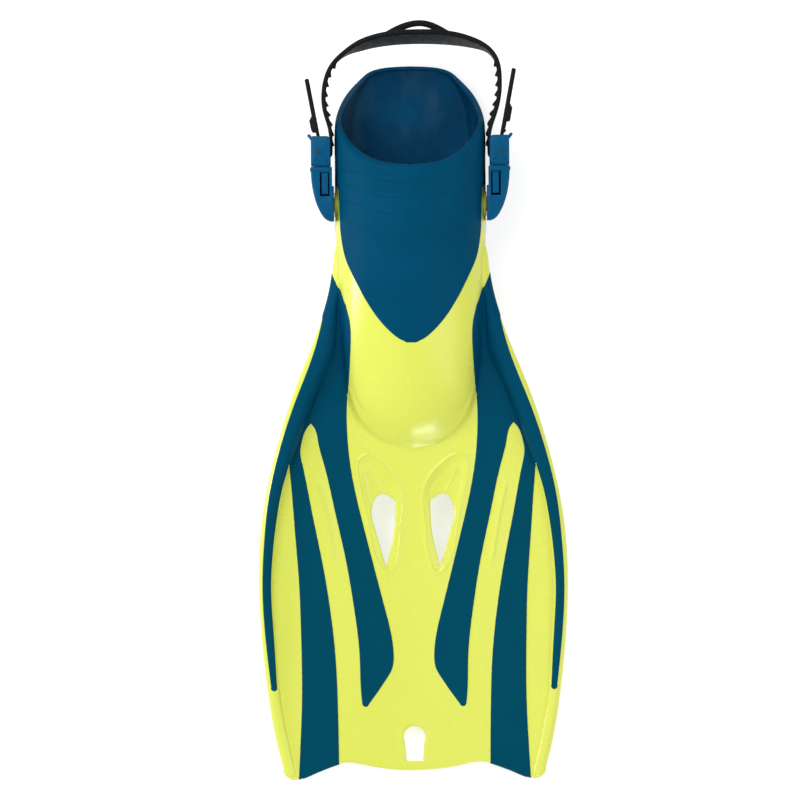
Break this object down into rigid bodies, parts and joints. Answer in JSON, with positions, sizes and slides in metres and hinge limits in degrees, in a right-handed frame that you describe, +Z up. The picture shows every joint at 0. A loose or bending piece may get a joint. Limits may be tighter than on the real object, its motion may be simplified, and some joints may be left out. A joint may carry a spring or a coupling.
{
  "type": "swim fin",
  "caption": "Open-heel snorkelling fin with a soft foot pocket, ribbed vented blade, ladder strap with a finger loop, and swivelling quick-release buckles.",
  "frame": {"origin": "middle of the footprint, on the surface that the fin lies on", "axes": "+Z up, +Y from the blade's tip towards the heel, +X to the right of a person looking down on the fin"},
  "size_m": [0.2168, 0.5313, 0.0951],
  "materials": {
    "hard_yellow": "smooth moulded yellow plastic",
    "soft_teal": "satin thermoplastic rubber",
    "strap_rubber": "satin black rubber",
    "buckle_blue": "smooth moulded blue plastic",
    "dark_plastic": "matt moulded plastic",
    "steel": "stainless steel"
  },
  "bodies": {
    "root": {"blade_frame": "hard_yellow", "foot_pocket": "soft_teal", "flex_insert_left": "soft_teal", "flex_insert_right": "soft_teal", "pivot_stud_left": "dark_plastic", "pivot_stud_right": "dark_plastic"},
    "socket_left": {"buckle_socket_left": "buckle_blue"},
    "socket_right": {"buckle_socket_right": "buckle_blue"},
    "strap": {"heel_strap": "strap_rubber", "buckle_frame_left": "buckle_blue", "roller_pin_left": "steel", "lever_pins_left": "steel", "lever_spring_left": "steel", "buckle_frame_right": "buckle_blue", "roller_pin_right": "steel", "lever_pins_right": "steel", "lever_spring_right": "steel"},
    "roller_left": {"strap_roller_left": "dark_plastic"},
    "lever_left": {"ratchet_lever_left": "buckle_blue"},
    "prong_upper_left": {"release_prong_upper_left": "buckle_blue"},
    "prong_lower_left": {"release_prong_lower_left": "buckle_blue"},
    "roller_right": {"strap_roller_right": "dark_plastic"},
    "lever_right": {"ratchet_lever_right": "buckle_blue"},
    "prong_upper_right": {"release_prong_upper_right": "buckle_blue"},
    "prong_lower_right": {"release_prong_lower_right": "buckle_blue"}
  },
  "joints": [
    {"name": "strap_swing", "type": "hinge", "parent": "root", "child": "socket_left", "pos_m": [-0.055, 0.138, 0.05], "axis": [1, 0, 0], "range_deg": [-60, 140]},
    {"name": "right_socket_swivel", "type": "hinge", "parent": "root", "child": "socket_right", "pos_m": [0.055, 0.138, 0.05], "axis": [1, 0, 0], "range_deg": [-60, 140]},
    {"name": "strap_release", "type": "slide", "parent": "socket_left", "child": "strap", "axis": [0, 1, 0], "range_m": [0, 0.036], "deforming": ["release_prong_upper_left", "release_prong_lower_left", "release_prong_upper_right", "release_prong_lower_right"]},
    {"name": "roller_spin_left", "type": "hinge", "parent": "strap", "child": "roller_left", "pos_m": [-0.0586, 0.1745, 0.05], "axis": [0, 0, 1], "continuous": true},
    {"name": "lever_lift_left", "type": "hinge", "parent": "strap", "child": "lever_left", "pos_m": [-0.0643, 0.1744, 0.05], "axis": [0, 0, 1], "range_deg": [0, 25], "stiffness_Nm_per_rad": 0.05, "springref_deg": -8.59, "deforming": ["lever_spring_left"]},
    {"name": "press_upper_left", "type": "hinge", "parent": "strap", "child": "prong_upper_left", "pos_m": [-0.0597, 0.1615, 0.0606], "axis": [1, 0, 0], "range_deg": [0, 9], "stiffness_Nm_per_rad": 0.3},
    {"name": "press_lower_left", "type": "hinge", "parent": "strap", "child": "prong_lower_left", "pos_m": [-0.0597, 0.1615, 0.0394], "axis": [-1, 0, 0], "range_deg": [0, 9], "stiffness_Nm_per_rad": 0.3},
    {"name": "roller_spin_right", "type": "hinge", "parent": "strap", "child": "roller_right", "pos_m": [0.0586, 0.1745, 0.05], "axis": [0, 0, 1], "continuous": true},
    {"name": "lever_lift_right", "type": "hinge", "parent": "strap", "child": "lever_right", "pos_m": [0.0643, 0.1744, 0.05], "axis": [0, 0, -1], "range_deg": [0, 25], "stiffness_Nm_per_rad": 0.05, "springref_deg": -8.59, "deforming": ["lever_spring_right"]},
    {"name": "press_upper_right", "type": "hinge", "parent": "strap", "child": "prong_upper_right", "pos_m": [0.0597, 0.1615, 0.0606], "axis": [1, 0, 0], "range_deg": [0, 9], "stiffness_Nm_per_rad": 0.3},
    {"name": "press_lower_right", "type": "hinge", "parent": "strap", "child": "prong_lower_right", "pos_m": [0.0597, 0.1615, 0.0394], "axis": [-1, 0, 0], "range_deg": [0, 9], "stiffness_Nm_per_rad": 0.3}
  ],
  "couplings": [
    {"joint": "right_socket_swivel", "follows": "strap_swing", "ratio": 1}
  ]
}
